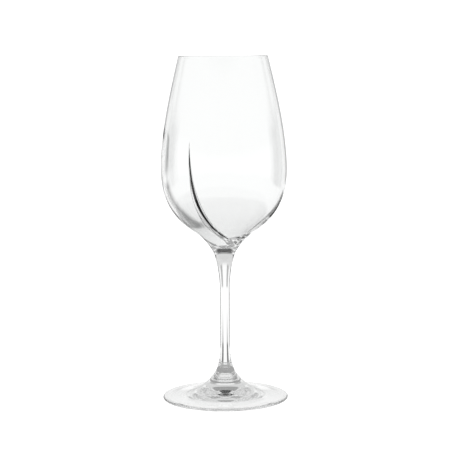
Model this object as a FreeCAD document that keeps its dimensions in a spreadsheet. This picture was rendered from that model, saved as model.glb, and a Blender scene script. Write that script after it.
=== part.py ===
"""Wine glass as a parametric document: a blown bowl, a drawn stem and a pressed foot.

The three pieces are fused end to end, so each one is drawn in its own frame with its lower
joint at height zero, and the spreadsheet's lengths stack them. Every outline is a chain of
smooth curves through a few named points. A point's "reach" is how far its tangent handle
stretches, so it sets how full the curve is beside that point. Sizes are in millimetres and
slopes in degrees.
"""
import FreeCAD, Part
import os
import Sketcher

SIZES = (
    # foot
    ("foot_radius", 44.0, "outer radius of the foot"),
    ("foot_height", 19.0, "resting plane up to the joint with the stem"),
    ("edge_thickness", 1.8, "thickness of the foot at its rounded edge"),
    ("rest_width", 3.0, "width of the flat ring that the glass stands on"),
    ("hollow_height", 5.0, "rise of the underside at the centre of the foot"),
    ("hollow_slope", 8.0, "slope of the underside where it leaves the ring, from level"),
    ("hollow_reach", 18.0, "reach of the handle at that ring"),
    ("crown_reach", 10.0, "reach of the handle at the centre of the underside"),
    ("disc_radius", 21.0, "radius where the disc turns up into the collar"),
    ("disc_height", 6.6, "height of the foot's top surface at that radius"),
    ("disc_slope", 22.0, "slope of the top surface there, from level"),
    ("disc_reach", 8.0, "reach of the handles at that radius"),
    ("edge_slope", 4.0, "slope of the top surface at the foot's edge, from level"),
    ("edge_reach", 10.0, "reach of the handle at the edge"),
    ("collar_slope", 33.0, "flare of the collar at its joint with the stem, from upright"),
    ("collar_reach", 5.0, "reach of the handle at that joint"),
    # stem
    ("stem_length", 85.5, "joint with the foot up to the joint with the bowl"),
    ("stem_radius", 3.55, "radius of the waist of the stem"),
    ("foot_joint_radius", 6.75, "radius of the fused joint of stem and foot"),
    ("bowl_joint_radius", 8.3, "radius of the fused joint of stem and bowl"),
    ("waist_start", 21.0, "height of the waist's lower end above the foot joint"),
    ("waist_end", 59.0, "height of the waist's upper end above the foot joint"),
    ("root_slope", 20.0, "flare of the stem at the foot joint, from upright"),
    ("root_reach", 6.4, "reach of the handle at the foot joint"),
    ("lower_waist_reach", 12.0, "reach of the handle below the waist"),
    ("upper_waist_reach", 9.5, "reach of the handle above the waist"),
    ("neck_slope", 30.0, "flare of stem and bowl at their joint, from upright"),
    ("neck_reach", 5.0, "reach of the handles at that joint"),
    # bowl
    ("bowl_height", 135.5, "joint with the stem up to the lip"),
    ("rim_radius", 31.2, "outer radius at the lip"),
    ("rim_wall", 1.1, "wall thickness at the lip"),
    ("rim_slope", 13.6, "lean of the wall at the lip, inward from upright"),
    ("rim_reach", 23.5, "reach of the handle at the lip"),
    ("belly_radius", 44.0, "outer radius at the widest place"),
    ("belly_height", 57.5, "height of the widest place above the joint"),
    ("belly_wall", 1.3, "wall thickness at the widest place"),
    ("belly_rise", 23.6, "reach of the handle above the widest place"),
    ("belly_drop", 22.8, "reach of the handle below the widest place"),
    ("turn_radius", 21.2, "radius where the underside turns from round to hollow"),
    ("turn_height", 13.7, "height of that turn above the joint"),
    ("turn_slope", 33.5, "slope of the underside at the turn, from level"),
    ("turn_wall", 2.3, "wall thickness at the turn"),
    ("turn_rise", 15.6, "reach of the handle above the turn"),
    ("turn_drop", 6.8, "reach of the handle below the turn"),
    ("floor_height", 4.2, "height of the inside floor above the joint"),
    ("floor_reach", 5.0, "half-width of the flat middle of the floor"),
    # wave
    ("wave_turn", 41.3, "turn of the crest's plane to the left of the front"),
    ("wave_swirl", 5.4, "distance at which that plane passes the axis"),
    ("wave_front", 6.0, "turn that the steep front takes"),
    ("wave_back", 110.0, "turn over which the back of the wave sinks away"),
    ("wave_rise", 3.2, "how far the crest stands off the wall at the turn"),
    ("wave_belly_rise", 1.3, "how far the crest stands off the wall at the belly"),
    ("wave_tip", 0.35, "share of the way from belly to lip where the crest ends"),
    ("wave_root", 0.3, "how deep the wave's surface lies in the wall where it ends"),
    ("wave_depth", 0.8, "how deep the wave's solid goes into the wall"),
)

# The back of the wave is drawn through this many sections after its crest.
BACK_SECTIONS = 7


def make_sheet(doc):
    """Write every driving size into one spreadsheet, with its name as the cell's alias."""
    sheet = doc.addObject("Spreadsheet::Sheet", "sizes")
    for row, (alias, value, note) in enumerate(SIZES, start=1):
        sheet.set(f"A{row}", note)
        sheet.set(f"B{row}", str(value))
        sheet.setAlias(f"B{row}", alias)
    doc.recompute()
    return sheet


class Outline:
    """A closed profile on a body's XZ plane, drawn with one pen that goes round it.

    The pen runs anticlockwise, to the right of the axis. Each place is a pair of expressions,
    radius then height, that read the spreadsheet.
    """

    def __init__(self, body, name, start):
        self.sketch = body.newObject("Sketcher::SketchObject", name)
        planes = body.Origin.OriginFeatures
        upright = next(plane for plane in planes if plane.Role == "XZ_Plane")
        self.sketch.AttachmentSupport = [(upright, "")]
        self.sketch.MapMode = "FlatFace"
        self.start = start
        self.first = None
        self.last = None

    def pin(self, geometry, vertex, kind, expression):
        """Tie one coordinate of a vertex to an expression."""
        here = self.sketch.getPoint(geometry, vertex)
        value = here.x if kind == "DistanceX" else here.y
        index = self.sketch.addConstraint(Sketcher.Constraint(kind, -1, 1, geometry, vertex, value))
        self.sketch.setExpression(f"Constraints[{index}]", expression)

    def place(self, geometry, vertex, place):
        """Tie a vertex to a place."""
        self.pin(geometry, vertex, "DistanceX", place[0])
        self.pin(geometry, vertex, "DistanceY", place[1])

    def follow(self, geometry, end):
        """Fasten a new edge to the one before it, and place its far end, or close the profile."""
        if self.last is None:
            self.first = geometry
            self.place(geometry, 1, self.start)
        else:
            self.sketch.addConstraint(Sketcher.Constraint("Coincident", self.last, 2, geometry, 1))
        if end is None:
            self.sketch.addConstraint(Sketcher.Constraint("Coincident", geometry, 2, self.first, 1))
        else:
            self.place(geometry, 2, end)
        self.last = geometry

    def line(self, end=None):
        """Draw a straight edge to a place, or back to the start."""
        edge = Part.LineSegment(FreeCAD.Vector(1, 1, 0), FreeCAD.Vector(2, 2, 0))
        self.follow(self.sketch.addGeometry(edge, False), end)

    def curve(self, leaving, arriving, end):
        """Draw a cubic curve to a place, by way of its two handles."""
        poles = [FreeCAD.Vector(1 + step, 1 + step * step, 0) for step in range(4)]
        rings = []
        for pole in poles:
            ring = Part.Circle(pole, FreeCAD.Vector(0, 0, 1), 1)
            rings.append(self.sketch.addGeometry(ring, True))
        spline = Part.BSplineCurve(poles, None, None, False, 3, None, False)
        geometry = self.sketch.addGeometry(spline, False)
        self.sketch.addConstraint(Sketcher.Constraint("Weight", rings[0], 1.0))
        for index, ring in enumerate(rings):
            if index > 0:
                self.sketch.addConstraint(Sketcher.Constraint("Equal", rings[0], ring))
            role = "InternalAlignment:Sketcher::BSplineControlPoint"
            self.sketch.addConstraint(Sketcher.Constraint(role, ring, 3, geometry, index))
        self.place(rings[1], 3, leaving)
        self.place(rings[2], 3, arriving)
        self.follow(geometry, end)

    def half_round(self, end, axis, middle):
        """Draw a semicircle to a place; one coordinate of its centre is given, named by axis."""
        circle = Part.Circle(FreeCAD.Vector(1, 1, 0), FreeCAD.Vector(0, 0, 1), 1)
        geometry = self.sketch.addGeometry(Part.ArcOfCircle(circle, 0, 3), False)
        self.pin(geometry, 3, axis, middle)
        self.follow(geometry, end)

    def swing(self, turn):
        """Turn the profile's plane to the left of the front, and pass it beside the axis.

        The turn is an expression. Heights above the joint stay as they are.
        """
        facing = f"(-90 - ({turn}))"
        upright = FreeCAD.Rotation(FreeCAD.Vector(0, 1, 0), 1)
        self.sketch.AttachmentOffset = FreeCAD.Placement(FreeCAD.Vector(0, 0, 0), upright)
        self.sketch.setExpression("AttachmentOffset.Rotation.Angle", facing)
        self.sketch.setExpression("AttachmentOffset.Base.x", f"-sizes.wave_swirl * sin({facing})")
        self.sketch.setExpression("AttachmentOffset.Base.z", f"-sizes.wave_swirl * cos({facing})")

    def spin(self, body, name):
        """Turn the profile once round the upright axis."""
        turned = body.newObject("PartDesign::Revolution", name)
        turned.Profile = self.sketch
        turned.ReferenceAxis = (self.sketch, ["V_Axis"])
        turned.Angle = 360
        return turned


def size(alias):
    """The expression that reads one size."""
    return f"sizes.{alias}"


def beside(radius, height, slope, reach, side):
    """A handle's place: a point moved along a slope from level, out (+1) or in (-1)."""
    return (
        f"{radius} + {side} * sizes.{reach} * cos(sizes.{slope})",
        f"{height} + {side} * sizes.{reach} * sin(sizes.{slope})",
    )


def above(radius, height, lean, reach, side):
    """A handle's place: a point moved along a flare from upright, up (+1) or down (-1)."""
    return (
        f"{radius} + {side} * sizes.{reach} * sin(sizes.{lean})",
        f"{height} + {side} * sizes.{reach} * cos(sizes.{lean})",
    )


def make_foot(doc):
    """The pressed foot: a thin disc with a rounded edge, a hollow underside and a collar."""
    body = doc.addObject("PartDesign::Body", "foot")
    ring_start = "(sizes.foot_radius - sizes.edge_thickness / 2 - sizes.rest_width)"
    edge_middle = "(sizes.foot_radius - sizes.edge_thickness / 2)"
    edge_top = (edge_middle, size("edge_thickness"))
    disc = (size("disc_radius"), size("disc_height"))
    joint = (size("foot_joint_radius"), size("foot_height"))

    outline = Outline(body, "foot_outline", ("0", size("hollow_height")))
    outline.curve((size("crown_reach"), size("hollow_height")),
                  (f"{ring_start} - sizes.hollow_reach * cos(sizes.hollow_slope)",
                   "sizes.hollow_reach * sin(sizes.hollow_slope)"),
                  (ring_start, "0"))
    outline.line((edge_middle, "0"))
    outline.half_round(edge_top, "DistanceX", edge_middle)
    outline.curve(
        (f"{edge_middle} - sizes.edge_reach * cos(sizes.edge_slope)",
         "sizes.edge_thickness + sizes.edge_reach * sin(sizes.edge_slope)"),
        ("sizes.disc_radius + sizes.disc_reach * cos(sizes.disc_slope)",
         "sizes.disc_height - sizes.disc_reach * sin(sizes.disc_slope)"),
        disc)
    outline.curve(
        ("sizes.disc_radius - sizes.disc_reach * cos(sizes.disc_slope)",
         "sizes.disc_height + sizes.disc_reach * sin(sizes.disc_slope)"),
        ("sizes.foot_joint_radius + sizes.collar_reach * sin(sizes.collar_slope)",
         "sizes.foot_height - sizes.collar_reach * cos(sizes.collar_slope)"),
        joint)
    outline.line(("0", size("foot_height")))
    outline.line()
    outline.spin(body, "foot_turned")
    return body


def make_stem(doc):
    """The drawn stem: a solid rod with a straight waist, flared into both of its joints."""
    body = doc.addObject("PartDesign::Body", "stem")
    waist_start = (size("stem_radius"), size("waist_start"))
    waist_end = (size("stem_radius"), size("waist_end"))
    bottom = (size("foot_joint_radius"), "0")
    top = (size("bowl_joint_radius"), size("stem_length"))

    outline = Outline(body, "stem_outline", ("0", "0"))
    outline.line(bottom)
    outline.curve(
        ("sizes.foot_joint_radius - sizes.root_reach * sin(sizes.root_slope)",
         "sizes.root_reach * cos(sizes.root_slope)"),
        (size("stem_radius"), "sizes.waist_start - sizes.lower_waist_reach"),
        waist_start)
    outline.line(waist_end)
    outline.curve(
        (size("stem_radius"), "sizes.waist_end + sizes.upper_waist_reach"),
        above(*top, "neck_slope", "neck_reach", -1),
        top)
    outline.line(("0", size("stem_length")))
    outline.line()
    outline.spin(body, "stem_turned")
    body.setExpression("Placement.Base.z", size("foot_height"))
    return body


class InnerWall:
    """The places that the bowl's inner surface runs through, which its wave follows too.

    A place can be asked for some way off the wall: into the hollow, or if negative, into the
    glass.
    """

    lip_height = "(sizes.bowl_height - sizes.rim_wall / 2)"
    lip = ("(sizes.rim_radius - sizes.rim_wall)", lip_height)
    below_lip = (f"({lip[0]} + sizes.rim_reach * sin(sizes.rim_slope))",
                 f"({lip[1]} - sizes.rim_reach * cos(sizes.rim_slope))")
    above_belly_height = "(sizes.belly_height + sizes.belly_rise)"
    below_belly_height = "(sizes.belly_height - sizes.belly_drop)"

    @staticmethod
    def belly(off="0"):
        """The radius of the wall at its widest place."""
        return f"(sizes.belly_radius - sizes.belly_wall - ({off}))"

    @staticmethod
    def turn(off="0"):
        """The place where the wall turns in towards the floor."""
        return (f"(sizes.turn_radius - (sizes.turn_wall + ({off})) * sin(sizes.turn_slope))",
                f"(sizes.turn_height + (sizes.turn_wall + ({off})) * cos(sizes.turn_slope))")

    @classmethod
    def upper_poles(cls, axis):
        """One coordinate of the four poles from belly to lip: 0 for radius and 1 for height."""
        belly = (cls.belly(), size("belly_height"))
        above_belly = (cls.belly(), cls.above_belly_height)
        return [pole[axis] for pole in (belly, above_belly, cls.below_lip, cls.lip)]


def partway(share, poles):
    """The expression for a share of the way along a curve, by blending its poles in pairs."""
    while len(poles) > 1:
        pairs = zip(poles, poles[1:])
        poles = [f"((1 - {share}) * {near} + {share} * {far})" for near, far in pairs]
    return poles[0]


def in_plane(place):
    """A place on the round wall, moved to where the wave's own upright plane cuts it."""
    return (f"sqrt(({place[0]})^2 - sizes.wave_swirl^2)", place[1])


def wave_section(body, name, turn, height):
    """Draw one closed upright section through the wave.

    The section goes up inside the glass of the wall and comes back down over the crest.

    Args:
        body: the bowl's body.
        name: the sketch's name.
        turn: expression for the turn of the section's plane to the left of the front.
        height: share of the wave's full rise here, from 0 to 1.
    """
    wall = InnerWall
    share = size("wave_tip")
    depth = size("wave_depth")
    floor_height = f"(sizes.floor_height - {depth} / 2)"
    tip = in_plane((f"({partway(share, wall.upper_poles(0))} + {depth} / 2)",
                    partway(share, wall.upper_poles(1))))

    def near_tip(off):
        """The handle below the tip, some way off the wall."""
        radius = partway(share, wall.upper_poles(0)[:3])
        return in_plane((f"({radius} - ({off}))", partway(share, wall.upper_poles(1)[:3])))

    def wall_handles(turn_off, belly_off):
        """The section's places and handles from the floor up to the belly, off the wall."""
        place = wall.turn(turn_off)
        radius = wall.belly(belly_off)
        return (in_plane(beside(*place, "turn_slope", "turn_drop", -1)),
                in_plane(place),
                in_plane(beside(*place, "turn_slope", "turn_rise", 1)),
                in_plane((radius, wall.below_belly_height)),
                in_plane((radius, size("belly_height"))),
                in_plane((radius, partway(share, wall.upper_poles(1)[:2]))))

    outline = Outline(body, name, ("0", floor_height))
    low, place, high, below, belly, over = wall_handles(f"-{depth}", f"-{depth}")
    outline.curve((size("floor_reach"), f"{floor_height} - sizes.wave_root"), low, place)
    outline.curve(high, below, belly)
    outline.curve(over, near_tip(f"-{depth}"), tip)

    lift = f"({height} * (sizes.wave_rise + sizes.wave_root) - sizes.wave_root)"
    belly_lift = f"({height} * (sizes.wave_belly_rise + sizes.wave_root) - sizes.wave_root)"
    low, place, high, below, belly, over = wall_handles(lift, belly_lift)
    outline.curve(near_tip("-sizes.wave_root"), over, belly)
    outline.curve(below, high, place)
    outline.curve(low, (size("floor_reach"), f"{floor_height} + sizes.wave_root"), None)
    outline.swing(turn)
    return outline.sketch


def add_loft(body, name, sections):
    """Run one smooth solid through a row of sections."""
    loft = body.newObject("PartDesign::AdditiveLoft", name)
    loft.Profile = sections[0]
    loft.Sections = sections[1:]
    return loft


def add_wave(body):
    """Raise the wave on the wall: a steep front up to its crest, and a long sinking back."""
    front_turn = "sizes.wave_turn - sizes.wave_front"
    foot = wave_section(body, "wave_foot", front_turn, 0)
    crest = wave_section(body, "wave_crest", size("wave_turn"), 1)
    back = []
    for step in range(1, BACK_SECTIONS + 1):
        share = step / BACK_SECTIONS
        sunk = 1 - share * share * (3 - 2 * share)
        turn = f"sizes.wave_turn + {share} * sizes.wave_back"
        back.append(wave_section(body, f"wave_back_{step}", turn, sunk))
    body.Document.recompute()
    add_loft(body, "wave_front", [foot, crest])
    body.Document.recompute()
    add_loft(body, "wave_rear", [crest, *back])


def make_bowl(doc):
    """The blown bowl: a thin lip and belly over a thick floor, with a wave up its inside."""
    body = doc.addObject("PartDesign::Body", "bowl")
    wall = InnerWall
    joint = (size("bowl_joint_radius"), "0")
    turn = (size("turn_radius"), size("turn_height"))
    belly = (size("belly_radius"), size("belly_height"))
    lip = (size("rim_radius"), wall.lip_height)
    inner_belly = (wall.belly(), size("belly_height"))
    inner_turn = wall.turn()

    outline = Outline(body, "bowl_outline", joint)
    outline.curve(above(*joint, "neck_slope", "neck_reach", 1),
                  beside(*turn, "turn_slope", "turn_drop", -1), turn)
    outline.curve(beside(*turn, "turn_slope", "turn_rise", 1),
                  (belly[0], wall.below_belly_height), belly)
    outline.curve((belly[0], wall.above_belly_height),
                  (f"{lip[0]} + sizes.rim_reach * sin(sizes.rim_slope)", wall.below_lip[1]), lip)
    outline.half_round(wall.lip, "DistanceY", wall.lip_height)
    outline.curve(wall.below_lip, (inner_belly[0], wall.above_belly_height), inner_belly)
    outline.curve((inner_belly[0], wall.below_belly_height),
                  beside(*inner_turn, "turn_slope", "turn_rise", 1), inner_turn)
    outline.curve(beside(*inner_turn, "turn_slope", "turn_drop", -1),
                  (size("floor_reach"), size("floor_height")), ("0", size("floor_height")))
    outline.line(("0", "0"))
    outline.line()
    outline.spin(body, "bowl_turned")
    add_wave(body)
    body.setExpression("Placement.Base.z", "sizes.foot_height + sizes.stem_length")
    return body


def check(doc, bodies):
    """Stop if any object failed, or if a piece has no sound solid.

    Raises:
        RuntimeError: names the first object that failed.
    """
    for thing in doc.Objects:
        if "Invalid" in thing.State or "Error" in thing.State:
            raise RuntimeError(f"{thing.Name} failed: {thing.State}")
    for body in bodies:
        if body.Shape.isNull() or not body.Shape.isValid() or len(body.Shape.Solids) != 1:
            raise RuntimeError(f"{body.Label} is not one sound solid")


def main():
    """Build the three pieces, check them and write one STEP file for each."""
    doc = FreeCAD.newDocument("wine_glass")
    make_sheet(doc)
    bodies = [make_foot(doc), make_stem(doc), make_bowl(doc)]
    doc.recompute()
    check(doc, bodies)
    os.makedirs("parts", exist_ok=True)
    for body in bodies:
        body.Shape.exportStep(f"parts/{body.Label}.step")
        box = body.Shape.optimalBoundingBox(True, False)
        print(f"{body.Label}: {body.Shape.Volume:.0f} mm3, z {box.ZMin:.2f} to {box.ZMax:.2f}")


main()
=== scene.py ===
"""The looks of a clear wine glass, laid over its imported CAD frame.

The glass is a blown bowl with one raised wave up the inside of its wall, a drawn stem and a
pressed foot, fused end to end. Every piece is a closed surface of rings about the upright
axis, computed as whole arrays. Sizes are in millimetres and angles in degrees; heights inside a
piece start at its lower end, and the frame says how high that is.
"""

import logging
import math
from collections.abc import Sequence
from dataclasses import dataclass, field
from enum import Enum

import bpy
import numpy as np
from mathutils import Euler, Matrix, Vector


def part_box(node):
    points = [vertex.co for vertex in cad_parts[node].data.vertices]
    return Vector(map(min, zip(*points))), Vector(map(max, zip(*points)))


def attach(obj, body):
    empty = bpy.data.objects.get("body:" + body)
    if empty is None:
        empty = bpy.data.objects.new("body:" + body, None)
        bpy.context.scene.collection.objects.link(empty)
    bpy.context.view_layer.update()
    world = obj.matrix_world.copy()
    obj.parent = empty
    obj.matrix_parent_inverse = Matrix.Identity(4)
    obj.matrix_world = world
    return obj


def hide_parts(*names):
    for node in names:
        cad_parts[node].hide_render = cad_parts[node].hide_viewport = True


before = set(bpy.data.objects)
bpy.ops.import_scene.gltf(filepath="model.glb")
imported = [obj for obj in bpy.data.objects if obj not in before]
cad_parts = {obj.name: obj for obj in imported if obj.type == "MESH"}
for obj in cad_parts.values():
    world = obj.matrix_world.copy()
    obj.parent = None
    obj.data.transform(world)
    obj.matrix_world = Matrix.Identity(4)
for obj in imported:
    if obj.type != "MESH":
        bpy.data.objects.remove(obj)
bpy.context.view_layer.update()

log = logging.getLogger("wine_glass")

MM = 0.001
LIGHT_TURNS = 32


class Face(Enum):
    """The two sorts of face on a piece, by their place in its list of materials."""

    POLISHED = 0
    FUSED = 1


def degrees_sin(angle: float) -> float:
    """Sine of an angle in degrees."""
    return math.sin(math.radians(angle))


def degrees_cos(angle: float) -> float:
    """Cosine of an angle in degrees."""
    return math.cos(math.radians(angle))


def ease(start: float, end: float, value: np.ndarray) -> np.ndarray:
    """Rise smoothly from 0 to 1 between two values.

    The share s of the way from start to end is held between 0 and 1, and the answer is
    s squared times (3 minus 2 s).

    Args:
        start: value where the answer leaves 0.
        end: value where it reaches 1.
        value: the values to ease.

    Returns:
        An array like value.
    """
    share = np.clip((value - start) / (end - start), 0.0, 1.0)
    return share * share * (3.0 - 2.0 * share)


@dataclass(frozen=True)
class Knot:
    """A named place that a profile runs through.

    Attributes:
        radius: distance from the axis.
        height: height above the piece's lower end.
        heading: the way the line runs there, anticlockwise from straight outward.
        back: reach of the tangent handle before the knot; a longer one makes a fuller line.
        ahead: reach of the tangent handle after the knot.
    """

    radius: float
    height: float
    heading: float
    back: float = 0.0
    ahead: float = 0.0

    def along(self, reach: float) -> tuple[float, float]:
        """The point at a reach along the heading, as radius and height."""
        return (
            self.radius + reach * degrees_cos(self.heading),
            self.height + reach * degrees_sin(self.heading),
        )


def run(start: Knot, end: Knot, spacing: float) -> np.ndarray:
    """Draw the smooth line from one knot to the next.

    The line is the cubic blend of four poles: the knots and the ends of their handles, weighted
    (1-t)^3, 3t(1-t)^2, 3t^2(1-t) and t^3.

    Args:
        start: the knot that it leaves.
        end: the knot that it reaches.
        spacing: rough distance between points.

    Returns:
        Rows of (radius, height) evenly spaced along the line, with both knots.
    """
    poles = np.array([start.along(0), start.along(start.ahead), end.along(-end.back), end.along(0)])
    t = np.linspace(0.0, 1.0, 400)[:, None]
    weights = np.hstack([(1 - t) ** 3, 3 * t * (1 - t) ** 2, 3 * t**2 * (1 - t), t**3])
    dense = weights @ poles
    travelled = np.concatenate([[0.0], np.cumsum(np.hypot(*np.diff(dense, axis=0).T))])
    places = np.linspace(0.0, travelled[-1], max(3, round(travelled[-1] / spacing) + 1))
    return np.stack([np.interp(places, travelled, dense[:, axis]) for axis in (0, 1)], axis=1)


def rounding(centre: tuple[float, float], radius: float, start: float, count: int) -> np.ndarray:
    """Draw an anticlockwise half circle: centre plus radius times (cos a, sin a).

    Args:
        centre: its middle, as radius and height.
        radius: its own radius.
        start: the angle a that it starts from.
        count: number of points.

    Returns:
        Rows of (radius, height), without the two ends, which the lines beside it hold.
    """
    a = np.radians(np.linspace(start, start + 180.0, count + 2)[1:-1])
    return np.stack([centre[0] + radius * np.cos(a), centre[1] + radius * np.sin(a)], axis=1)


def chain(lines: Sequence[np.ndarray]) -> np.ndarray:
    """Join profile lines end to end, dropping the points that two of them share."""
    points = [lines[0]]
    for line in lines[1:]:
        shared = np.allclose(points[-1][-1], line[0])
        points.append(line[1:] if shared else line)
    return np.concatenate(points)


def closed_piece(
    name: str,
    radius: np.ndarray,
    height: np.ndarray,
    turn: np.ndarray,
    lower_end: float,
    fused_rings: tuple[bool, bool],
) -> bpy.types.Object:
    """Make one closed mesh from rings about the upright axis.

    A point of ring i and column j stands at x = radius sin(turn), y = -radius cos(turn) and
    z = lower end + height, so turn 0 is the near side. Neighbouring rings are joined by quads,
    and a fan of triangles to the axis closes the first ring and the last.

    Args:
        name: name of the new object.
        radius: distance from the axis, one row for each ring.
        height: height above the piece's lower end, the same shape.
        turn: turn about the axis in radians, the same shape.
        lower_end: height of the piece's lower end in the frame.
        fused_rings: whether the first and the last fan are joint faces.

    Returns:
        The object, at the origin, with its place in its mesh.
    """
    rings, columns = radius.shape
    ring_points = np.stack(
        [radius * np.sin(turn), -radius * np.cos(turn), lower_end + height], axis=-1
    )
    poles = np.array([[0.0, 0.0, lower_end + height[end].mean()] for end in (0, -1)])
    points = np.concatenate([ring_points.reshape(-1, 3), poles]) * MM

    index = np.arange(rings * columns).reshape(rings, columns)
    beside = np.roll(index, -1, axis=1)
    quads = np.stack([index[:-1], beside[:-1], beside[1:], index[1:]], axis=-1).reshape(-1, 4)
    first_pole = np.full(columns, rings * columns)
    first_fan = np.stack([first_pole, beside[0], index[0]], axis=-1)
    last_fan = np.stack([first_pole + 1, index[-1], beside[-1]], axis=-1)

    mesh = bpy.data.meshes.new(name)
    mesh.from_pydata(points, [], quads.tolist() + first_fan.tolist() + last_fan.tolist())
    mesh.polygons.foreach_set("use_smooth", np.ones(len(mesh.polygons), bool))
    sort = np.full(len(mesh.polygons), Face.POLISHED.value)
    if fused_rings[0]:
        sort[len(quads):len(quads) + columns] = Face.FUSED.value
    if fused_rings[1]:
        sort[len(quads) + columns:] = Face.FUSED.value
    mesh.polygons.foreach_set("material_index", sort.astype(np.int32))
    mesh.update()
    mesh.set_sharp_from_angle(angle=math.radians(40.0))
    piece = bpy.data.objects.new(name, mesh)
    bpy.context.scene.collection.objects.link(piece)
    return piece


def turned(profile: np.ndarray, columns: int) -> tuple[np.ndarray, np.ndarray, np.ndarray]:
    """Turn a profile round the axis in even steps.

    Args:
        profile: rows of (radius, height).
        columns: number of steps.

    Returns:
        Radius, height and turn on the grid of profile points by steps.
    """
    turn = np.linspace(0.0, 2.0 * math.pi, columns, endpoint=False)
    radius, turn_grid = np.meshgrid(profile[:, 0], turn, indexing="ij")
    height, _ = np.meshgrid(profile[:, 1], turn, indexing="ij")
    return radius, height, turn_grid


class Sums:
    """Writes sums as chains of nodes in one node tree."""

    def __init__(self, tree: bpy.types.NodeTree) -> None:
        """Keep the tree to write in."""
        self.tree = tree

    def do(self, operation: str, *values: float | bpy.types.NodeSocket) -> bpy.types.NodeSocket:
        """Add one Math node.

        Args:
            operation: Blender's name for the operation.
            values: its inputs, each a number or the output of another node.

        Returns:
            The node's output.
        """
        node = self.tree.nodes.new("ShaderNodeMath")
        node.operation = operation
        self.feed(node, values)
        return node.outputs[0]

    def fade(
        self, value: bpy.types.NodeSocket, start: float, end: float, low: float, high: float
    ) -> bpy.types.NodeSocket:
        """Add one smooth Map Range node.

        Args:
            value: what it reads.
            start: reading where the answer leaves low.
            end: reading where it reaches high.
            low: answer before start.
            high: answer after end.

        Returns:
            The node's output.
        """
        node = self.tree.nodes.new("ShaderNodeMapRange")
        node.interpolation_type = "SMOOTHSTEP"
        self.feed(node, (value, start, end, low, high))
        return node.outputs[0]

    def feed(self, node: bpy.types.Node, values: Sequence[float | bpy.types.NodeSocket]) -> None:
        """Link or set a node's first inputs."""
        for socket, value in zip(node.inputs, values):
            if isinstance(value, bpy.types.NodeSocket):
                self.tree.links.new(value, socket)
            else:
                socket.default_value = value


@dataclass(frozen=True)
class ClearGlass:
    """Clear crystal, with the faint unevenness that its making leaves.

    Attributes:
        name: the material's name.
        stretch: how many times longer the ripples are across, across and upright.
        ripple_size: rough size of a ripple.
        ripple_depth: how deep the ripples stand.
        haze: roughness where a wiping cloth has left the most haze.
        ior: how strongly the glass bends light.
    """

    name: str
    stretch: tuple[float, float, float]
    ripple_size: float
    ripple_depth: float
    haze: float = 0.012
    ior: float = 1.52

    def material(self) -> bpy.types.Material:
        """Build the glass: a clear body, a rippled surface and patches of very slight haze."""
        material = bpy.data.materials.new(self.name)
        material.use_nodes = True
        tree = material.node_tree
        shader = tree.nodes["Principled BSDF"]
        shader.inputs["Base Color"].default_value = (0.995, 1.0, 0.998, 1.0)
        shader.inputs["Transmission Weight"].default_value = 1.0
        shader.inputs["IOR"].default_value = self.ior
        place = tree.nodes.new("ShaderNodeTexCoord").outputs["Object"]

        mapping = tree.nodes.new("ShaderNodeMapping")
        mapping.inputs["Scale"].default_value = [1.0 / length for length in self.stretch]
        tree.links.new(place, mapping.inputs["Vector"])
        ripples = tree.nodes.new("ShaderNodeTexNoise")
        ripples.inputs["Scale"].default_value = 1.0 / (self.ripple_size * MM)
        ripples.inputs["Detail"].default_value = 1.0
        tree.links.new(mapping.outputs[0], ripples.inputs["Vector"])
        bump = tree.nodes.new("ShaderNodeBump")
        bump.inputs["Strength"].default_value = 1.0
        bump.inputs["Distance"].default_value = self.ripple_depth * MM
        tree.links.new(ripples.outputs[0], bump.inputs["Height"])
        tree.links.new(bump.outputs[0], shader.inputs["Normal"])

        smears = tree.nodes.new("ShaderNodeTexNoise")
        smears.inputs["Scale"].default_value = 55.0
        smears.inputs["Detail"].default_value = 3.0
        tree.links.new(place, smears.inputs["Vector"])
        haze = Sums(tree).fade(smears.outputs[0], 0.55, 0.8, 0.0, self.haze)
        tree.links.new(haze, shader.inputs["Roughness"])
        return material


@dataclass(frozen=True)
class FusedJoint:
    """The face where two pieces were melted together, which doesn't bend light."""

    name: str = "fused_joint"

    def material(self) -> bpy.types.Material:
        """Build the clear face, one for all the pieces."""
        known = bpy.data.materials.get(self.name)
        if known:
            return known
        material = bpy.data.materials.new(self.name)
        material.use_nodes = True
        tree = material.node_tree
        tree.nodes.remove(tree.nodes["Principled BSDF"])
        clear = tree.nodes.new("ShaderNodeBsdfTransparent")
        tree.links.new(clear.outputs[0], tree.nodes["Material Output"].inputs["Surface"])
        return material


BLOWN = ClearGlass("blown_glass", (1.0, 1.0, 6.0), 9.0, 0.004)
DRAWN = ClearGlass("drawn_glass", (1.0, 1.0, 12.0), 4.0, 0.002)
PRESSED = ClearGlass("pressed_glass", (1.0, 1.0, 1.0), 12.0, 0.008)


def dress(piece: bpy.types.Object, finish: ClearGlass, node: str) -> None:
    """Give a piece its finish, let it ride the glass's body and stand for its CAD node.

    Args:
        piece: the finished piece.
        finish: the glass of its polished faces.
        node: the CAD node that it replaces.
    """
    piece.data.materials.append(finish.material())
    piece.data.materials.append(FusedJoint().material())
    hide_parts(node)
    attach(piece, "root")
    log.info("%s: %d faces stand for node %s", piece.name, len(piece.data.polygons), node)


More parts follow.
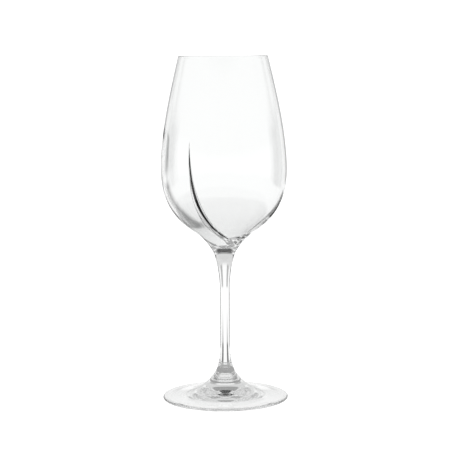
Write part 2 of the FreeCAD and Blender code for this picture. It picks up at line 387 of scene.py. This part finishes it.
@dataclass
class Foot:
    """The pressed foot: a thin disc with a rounded edge, a hollow underside and a collar."""

    lower_end: float
    height: float
    radius: float
    joint_radius: float = 6.75
    edge_thickness: float = 1.8
    rest_width: float = 3.0
    hollow: float = 5.0
    hollow_slope: float = 8.0
    hollow_reach: float = 18.0
    crown_reach: float = 10.0
    disc_radius: float = 21.0
    disc_height: float = 6.6
    disc_slope: float = 22.0
    disc_reach: float = 8.0
    edge_slope: float = 4.0
    edge_reach: float = 10.0
    collar_slope: float = 33.0
    collar_reach: float = 5.0
    spacing: float = 0.5
    columns: int = 256

    def profile(self) -> np.ndarray:
        """Draw the outline from the middle of the underside round to the joint's edge."""
        edge_middle = self.radius - self.edge_thickness / 2
        ring = edge_middle - self.rest_width
        middle = Knot(0.0, self.hollow, 0.0, ahead=self.crown_reach)
        rest = Knot(ring, 0.0, -self.hollow_slope, back=self.hollow_reach)
        edge = Knot(edge_middle, 0.0, 0.0)
        top = Knot(edge_middle, self.edge_thickness, 180 - self.edge_slope, ahead=self.edge_reach)
        disc = Knot(self.disc_radius, self.disc_height, 180 - self.disc_slope,
                    self.disc_reach, self.disc_reach)
        joint = Knot(self.joint_radius, self.height, 90 + self.collar_slope, self.collar_reach)
        return chain([
            run(middle, rest, self.spacing)[1:],
            run(Knot(ring, 0.0, 0.0), edge, self.spacing),
            rounding((edge_middle, self.edge_thickness / 2), self.edge_thickness / 2, -90, 11),
            run(top, disc, self.spacing),
            run(disc, joint, self.spacing / 2),
        ])

    def build(self) -> bpy.types.Object:
        """Turn the outline into the foot and dress it."""
        grid = turned(self.profile(), self.columns)
        piece = closed_piece("glass_foot", *grid, self.lower_end, (False, True))
        dress(piece, PRESSED, "foot")
        return piece


@dataclass
class Stem:
    """The drawn stem: a solid rod with a straight waist, flared into both of its joints."""

    lower_end: float
    length: float
    waist_radius: float = 3.55
    foot_joint_radius: float = 6.75
    bowl_joint_radius: float = 8.3
    waist_start: float = 21.0
    waist_end: float = 59.0
    root_slope: float = 20.0
    root_reach: float = 6.4
    lower_waist_reach: float = 12.0
    upper_waist_reach: float = 9.5
    neck_slope: float = 30.0
    neck_reach: float = 5.0
    spacing: float = 0.3
    columns: int = 144

    def profile(self) -> np.ndarray:
        """Draw the outline from the edge of the foot joint up to the edge of the bowl joint."""
        root = Knot(self.foot_joint_radius, 0.0, 90 + self.root_slope, ahead=self.root_reach)
        waist_start = Knot(self.waist_radius, self.waist_start, 90.0, back=self.lower_waist_reach)
        waist_end = Knot(self.waist_radius, self.waist_end, 90.0, ahead=self.upper_waist_reach)
        neck = Knot(self.bowl_joint_radius, self.length, 90 - self.neck_slope, self.neck_reach)
        return chain([
            run(root, waist_start, self.spacing),
            run(waist_start, waist_end, 3 * self.spacing),
            run(waist_end, neck, self.spacing),
        ])

    def build(self) -> bpy.types.Object:
        """Turn the outline into the stem and dress it."""
        grid = turned(self.profile(), self.columns)
        piece = closed_piece("glass_stem", *grid, self.lower_end, (True, True))
        dress(piece, DRAWN, "stem")
        return piece


@dataclass
class Wave:
    """The raised wave that runs up the inside of the bowl's wall.

    Its crest lies in an upright plane that passes beside the axis. In front of the crest the
    glass drops steeply back to the wall, and behind the crest it sinks slowly round the bowl.
    Turns are measured from the near side, positive to the right.

    Attributes:
        crest_turn: turn of the crest's plane about the axis.
        swirl: distance at which that plane passes the axis.
        rise: how far the crest stands off the wall low in the bowl.
        foot: heights between which the crest rises out of the floor.
        tip: heights between which the crest sinks into the wall.
        shoulder_foot: heights between which the wave's shoulder swells, far behind the crest.
        shoulder_tip: heights between which that shoulder sinks into the wall.
        shoulder_rise: how far the shoulder stands off the wall.
        shoulder_start: turn behind the crest at which the shoulder starts to swell.
        shoulder_turn: turn at which it stands highest.
        shoulder_end: turn at which it has sunk away.
        front_width: width of the steep front low in the bowl.
        tip_width: its width at the crest's tip.
        back: turn over which the back of the wave sinks away.
    """

    crest_turn: float = -41.3
    swirl: float = 5.4
    rise: float = 3.2
    foot: tuple[float, float] = (1.0, 12.0)
    tip: tuple[float, float] = (24.0, 84.0)
    shoulder_foot: tuple[float, float] = (38.0, 68.0)
    shoulder_tip: tuple[float, float] = (74.0, 87.0)
    shoulder_rise: float = 1.1
    shoulder_start: float = 42.0
    shoulder_turn: float = 58.0
    shoulder_end: float = 80.0
    front_width: float = 8.0
    tip_width: float = 0.5
    back: float = 110.0

    def crest(self, radius: np.ndarray) -> np.ndarray:
        """Turn of the crest at a radius: crest turn plus the arcsine of swirl over radius."""
        reach = np.clip(self.swirl / np.maximum(radius, self.swirl), 0.0, 1.0)
        return self.crest_turn + np.degrees(np.arcsin(reach))

    def front_turn(self, radius: np.ndarray, height: np.ndarray) -> np.ndarray:
        """Turn that the steep front takes: its width there over the radius, in degrees."""
        low = 1.0 - ease(*self.tip, height)
        width = self.tip_width + (self.front_width - self.tip_width) * low
        return np.degrees(width / np.maximum(radius, self.swirl))

    def columns(self, front: np.ndarray, steep: int, count: int) -> np.ndarray:
        """Turns from the crest, close together over the front and wider apart behind.

        Args:
            front: turn that the front takes, one for each ring.
            steep: number of columns over the front.
            count: number of columns all the way round.

        Returns:
            Turns in degrees from 0 at the crest up to almost 360, one row for each ring.
        """
        over_front = front[:, None] * np.linspace(0.0, 1.0, steep, endpoint=False)
        behind = np.linspace(0.0, 1.0, count - steep, endpoint=False)
        return np.hstack([over_front, front[:, None] + (360.0 - front[:, None]) * behind])

    def lift(self, height: np.ndarray, turn: np.ndarray, front: np.ndarray) -> np.ndarray:
        """How far the wave stands off the wall.

        The crest's rise is eased in above its foot and out below its tip. Ahead of the crest it
        is eased out over the front, and behind it over the back. The shoulder is added to that:
        its own rise, eased in and out both by height and by turn.

        Args:
            height: height above the bowl's lower end, one column.
            turn: turn from the crest, one row for each height.
            front: turn that the front takes at each height, one column.

        Returns:
            The lift on the grid of heights by turns.
        """
        behind = 360.0 - turn
        over_front = 1.0 - ease(0.0, 1.0, turn / front)
        over_back = 1.0 - ease(0.0, self.back, behind)
        crest = ease(*self.foot, height) * (1.0 - ease(*self.tip, height))
        swell = ease(self.shoulder_start, self.shoulder_turn, behind)
        sink = 1.0 - ease(self.shoulder_turn, self.shoulder_end, behind)
        shoulder = ease(*self.shoulder_foot, height) * (1.0 - ease(*self.shoulder_tip, height))
        return (
            self.rise * crest * np.where(turn <= front, over_front, over_back)
            + self.shoulder_rise * shoulder * swell * sink
        )


@dataclass
class Bowl:
    """The blown bowl: a thin lip and belly over a thick floor, with a wave up its inside."""

    lower_end: float
    height: float
    joint_radius: float = 8.3
    neck_slope: float = 30.0
    neck_reach: float = 5.0
    rim_radius: float = 31.2
    rim_wall: float = 1.1
    rim_slope: float = 13.6
    rim_reach: float = 23.5
    belly_radius: float = 44.0
    belly_height: float = 57.5
    belly_wall: float = 1.3
    belly_rise: float = 23.6
    belly_drop: float = 22.8
    turn_radius: float = 21.2
    turn_height: float = 13.7
    turn_slope: float = 33.5
    turn_wall: float = 2.3
    turn_rise: float = 15.6
    turn_drop: float = 6.8
    floor_height: float = 4.2
    floor_reach: float = 5.0
    wave: Wave = field(default_factory=Wave)
    outer_spacing: float = 1.6
    inner_spacing: float = 0.75
    columns: int = 240
    steep_columns: int = 40

    @property
    def lip_height(self) -> float:
        """Height of the lip's middle, half a wall below the top."""
        return self.height - self.rim_wall / 2

    def outer_profile(self) -> np.ndarray:
        """Draw the outside from the joint's edge up to the lip."""
        joint = Knot(self.joint_radius, 0.0, 90 - self.neck_slope, ahead=self.neck_reach)
        turn = Knot(self.turn_radius, self.turn_height, self.turn_slope,
                    self.turn_drop, self.turn_rise)
        belly = Knot(self.belly_radius, self.belly_height, 90.0, self.belly_drop, self.belly_rise)
        lip = Knot(self.rim_radius, self.lip_height, 90 + self.rim_slope, self.rim_reach)
        return chain([
            run(joint, turn, 0.4),
            run(turn, belly, self.outer_spacing / 2),
            run(belly, lip, self.outer_spacing),
        ])

    def inner_profile(self) -> np.ndarray:
        """Draw the inside from the lip down to the middle of the floor."""
        lip = Knot(self.rim_radius - self.rim_wall, self.lip_height, 270 + self.rim_slope,
                   ahead=self.rim_reach)
        belly = Knot(self.belly_radius - self.belly_wall, self.belly_height, 270.0,
                     self.belly_rise, self.belly_drop)
        turn = Knot(self.turn_radius - self.turn_wall * degrees_sin(self.turn_slope),
                    self.turn_height + self.turn_wall * degrees_cos(self.turn_slope),
                    180 + self.turn_slope, self.turn_rise, self.turn_drop)
        middle = Knot(0.0, self.floor_height, 180.0, self.floor_reach)
        return chain([
            run(lip, belly, self.inner_spacing),
            run(belly, turn, self.inner_spacing),
            run(turn, middle, self.inner_spacing / 2)[:-1],
        ])

    def inner_wall(self) -> tuple[np.ndarray, np.ndarray, np.ndarray]:
        """Lift the inside off its plain profile by the wave.

        Each point moves by the wave's lift along the profile's normal, into the hollow. The
        columns turn with the crest, so that its edge runs along one of them.

        Returns:
            Radius, height and turn on the grid of profile points by columns.
        """
        profile = self.inner_profile()
        radius, height = profile.T
        heading = np.gradient(profile, axis=0)
        heading /= np.hypot(*heading.T)[:, None]
        front = self.wave.front_turn(radius, height)
        turn = self.wave.columns(front, self.steep_columns, self.columns)
        lift = self.wave.lift(height[:, None], turn, front[:, None])
        return (
            np.maximum(radius[:, None] + heading[:, 1:] * lift, 0.0),
            height[:, None] - heading[:, :1] * lift,
            np.radians(self.wave.crest(radius)[:, None] + turn),
        )

    def build(self) -> bpy.types.Object:
        """Join the outside, the lip and the waved inside into the bowl and dress it."""
        inner = self.inner_wall()
        outer_profile = self.outer_profile()
        lip = rounding((self.rim_radius - self.rim_wall / 2, self.lip_height),
                       self.rim_wall / 2, 0, 9)
        plain = np.concatenate([outer_profile, lip])
        shape = (len(plain), self.columns)
        radius = np.broadcast_to(plain[:, :1], shape)
        height = np.broadcast_to(plain[:, 1:], shape)
        turn = np.broadcast_to(inner[2][:1], shape)
        grid = [np.concatenate(pair) for pair in zip((radius, height, turn), inner)]
        piece = closed_piece("glass_bowl", *grid, self.lower_end, (True, False))
        dress(piece, BLOWN, "bowl")
        return piece


@dataclass(frozen=True)
class Flag:
    """A pair of soft-edged dark screens, one on each side of the camera's line of sight.

    Attributes:
        turn: turn of their middles from straight ahead of the camera, left and right.
        half: half of the turn that each takes.
        low: elevation of their lower sides above the horizon.
        high: elevation of their upper sides.
        taken: share of the light that they take away.
        soft: turn or elevation over which their sides fade.
    """

    turn: float
    half: float
    low: float
    high: float
    taken: float
    soft: float = 3.0

    def let_through(
        self, sums: Sums, turn: bpy.types.NodeSocket, elevation: bpy.types.NodeSocket
    ) -> bpy.types.NodeSocket:
        """Work out the share let through: one less the share taken times its sides' fades.

        Args:
            sums: writes the nodes.
            turn: turn of the direction that is looked in.
            elevation: elevation of that direction.

        Returns:
            The share, 1 away from the screens.
        """
        off = sums.do("ABSOLUTE", sums.do("SUBTRACT", sums.do("ABSOLUTE", turn), self.turn))
        across = sums.fade(off, self.half - self.soft, self.half + self.soft, self.taken, 0.0)
        above = sums.fade(elevation, self.low - self.soft / 2, self.low + self.soft / 2, 0.0, 1.0)
        below = sums.fade(elevation, self.high - self.soft / 2, self.high + self.soft / 2, 1.0, 0.0)
        return sums.do("SUBTRACT", 1.0, sums.do("MULTIPLY", across, sums.do("MULTIPLY", above, below)))


@dataclass
class Studio:
    """A soft white room, the same all the way round but for a few pairs of dark flags.

    The room is seen through the glass and in its reflections; straight past the glass it is
    plain white. The flags stand where the camera's own view needs them to draw the glass's
    edges. From other sides they show as soft grey streaks.

    Attributes:
        light_level: brightness of the walls.
        plain_level: brightness straight past the glass.
        steps: elevations between which the walls dim, and the shares before and after.
        flags: the dark screens.
        floor_radius: radius of the pale table top.
        floor_sides: number of sides that draw its edge.
    """

    light_level: float = 1.27
    plain_level: float = 1.6
    steps: tuple[tuple[float, float, float, float], ...] = (
        (-38.0, -34.0, 0.35, 1.0),
        (2.5, 7.5, 1.0, 0.7),
        (24.0, 28.0, 1.0, 0.5),
        (48.0, 54.0, 1.0, 0.15),
    )
    flags: tuple[Flag, ...] = (
        Flag(20.0, 7.0, -34.0, -11.0, 0.88),
        Flag(20.0, 7.0, -8.0, 5.0, 0.55),
        Flag(62.0, 15.0, -14.0, 7.0, 0.75),
    )
    floor_radius: float = 4000.0
    floor_sides: int = 96

    def build(self) -> None:
        """Light the scene and lay the floor."""
        self.light()
        self.lay_floor()

    def light(self) -> None:
        """Make the room: the light level times each step's share and each flag's."""
        world = bpy.data.worlds.new("white_room")
        bpy.context.scene.world = world
        world.use_nodes = True
        tree = world.node_tree
        tree.nodes.clear()
        sums = Sums(tree)
        way = tree.nodes.new("ShaderNodeTexCoord").outputs["Generated"]
        split = tree.nodes.new("ShaderNodeSeparateXYZ")
        tree.links.new(way, split.inputs[0])
        x, y, z = split.outputs
        turn = sums.do("MULTIPLY", sums.do("ARCTAN2", x, y), math.degrees(1.0))
        elevation = sums.do("MULTIPLY", sums.do("ARCSINE", z), math.degrees(1.0))
        shade = self.light_level
        for step in self.steps:
            shade = sums.do("MULTIPLY", shade, sums.fade(elevation, *step))
        for flag in self.flags:
            shade = sums.do("MULTIPLY", shade, flag.let_through(sums, turn, elevation))

        straight = tree.nodes.new("ShaderNodeLightPath").outputs["Is Camera Ray"]
        strength = sums.do("MAXIMUM", shade, sums.do("MULTIPLY", straight, self.plain_level))
        background = tree.nodes.new("ShaderNodeBackground")
        output = tree.nodes.new("ShaderNodeOutputWorld")
        tree.links.new(strength, background.inputs["Strength"])
        tree.links.new(background.outputs[0], output.inputs["Surface"])

    def lay_floor(self) -> None:
        """Lay a pale round table top that is lit from inside, and that the glass doesn't show."""
        turn = np.linspace(0.0, 2.0 * math.pi, self.floor_sides, endpoint=False)
        edge = np.stack([np.cos(turn), np.sin(turn), 0.0 * turn], axis=1) * self.floor_radius * MM
        mesh = bpy.data.meshes.new("floor")
        mesh.from_pydata(edge, [], [tuple(range(len(edge)))])
        floor = bpy.data.objects.new("floor", mesh)
        bpy.context.scene.collection.objects.link(floor)
        material = bpy.data.materials.new("pale_floor")
        material.use_nodes = True
        shader = material.node_tree.nodes["Principled BSDF"]
        shader.inputs["Base Color"].default_value = (0.9, 0.9, 0.9, 1.0)
        shader.inputs["Roughness"].default_value = 0.7
        shader.inputs["Emission Color"].default_value = (1.0, 1.0, 1.0, 1.0)
        shader.inputs["Emission Strength"].default_value = 1.0
        mesh.materials.append(material)
        floor.visible_transmission = False
        floor.visible_glossy = False
        floor.visible_shadow = False


@dataclass
class Camera:
    """The camera, a little above the glass's middle and looking slightly down."""

    distance: float = 1020.0
    height: float = 240.0
    pitch: float = 6.57
    roll: float = -0.43
    lens: float = 117.6
    sensor: float = 36.0
    shift: float = 0.0016

    def build(self) -> bpy.types.Object:
        """Place the camera on the near side and make it the scene's own."""
        data = bpy.data.cameras.new("camera")
        data.lens = self.lens
        data.sensor_width = self.sensor
        data.shift_x = self.shift
        camera = bpy.data.objects.new("camera", data)
        bpy.context.scene.collection.objects.link(camera)
        camera.location = (0.0, -self.distance * MM, self.height * MM)
        level = Euler((math.radians(90.0 - self.pitch), 0.0, 0.0)).to_matrix()
        tilt = Matrix.Rotation(math.radians(self.roll), 3, "Z")
        camera.rotation_euler = (level @ tilt).to_euler()
        bpy.context.scene.camera = camera
        return camera


def main() -> None:
    """Build the studio and the three pieces, in order from the table up."""
    logging.basicConfig(level=logging.INFO, format="%(name)s: %(message)s")
    bpy.context.scene.view_settings.view_transform = "Standard"
    # Light turns many times inside the thick glass before it leaves.
    bpy.context.scene.cycles.max_bounces = LIGHT_TURNS
    bpy.context.scene.cycles.glossy_bounces = LIGHT_TURNS
    bpy.context.scene.cycles.transmission_bounces = LIGHT_TURNS
    foot_low, foot_high = (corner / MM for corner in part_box("foot"))
    stem_low, stem_high = (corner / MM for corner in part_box("stem"))
    bowl_low, bowl_high = (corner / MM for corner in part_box("bowl"))
    Studio().build()
    Camera().build()
    Foot(lower_end=foot_low.z, height=foot_high.z - foot_low.z, radius=foot_high.x).build()
    Stem(lower_end=stem_low.z, length=stem_high.z - stem_low.z).build()
    Bowl(lower_end=bowl_low.z, height=bowl_high.z - bowl_low.z).build()


if __name__ == "__main__":
    main()
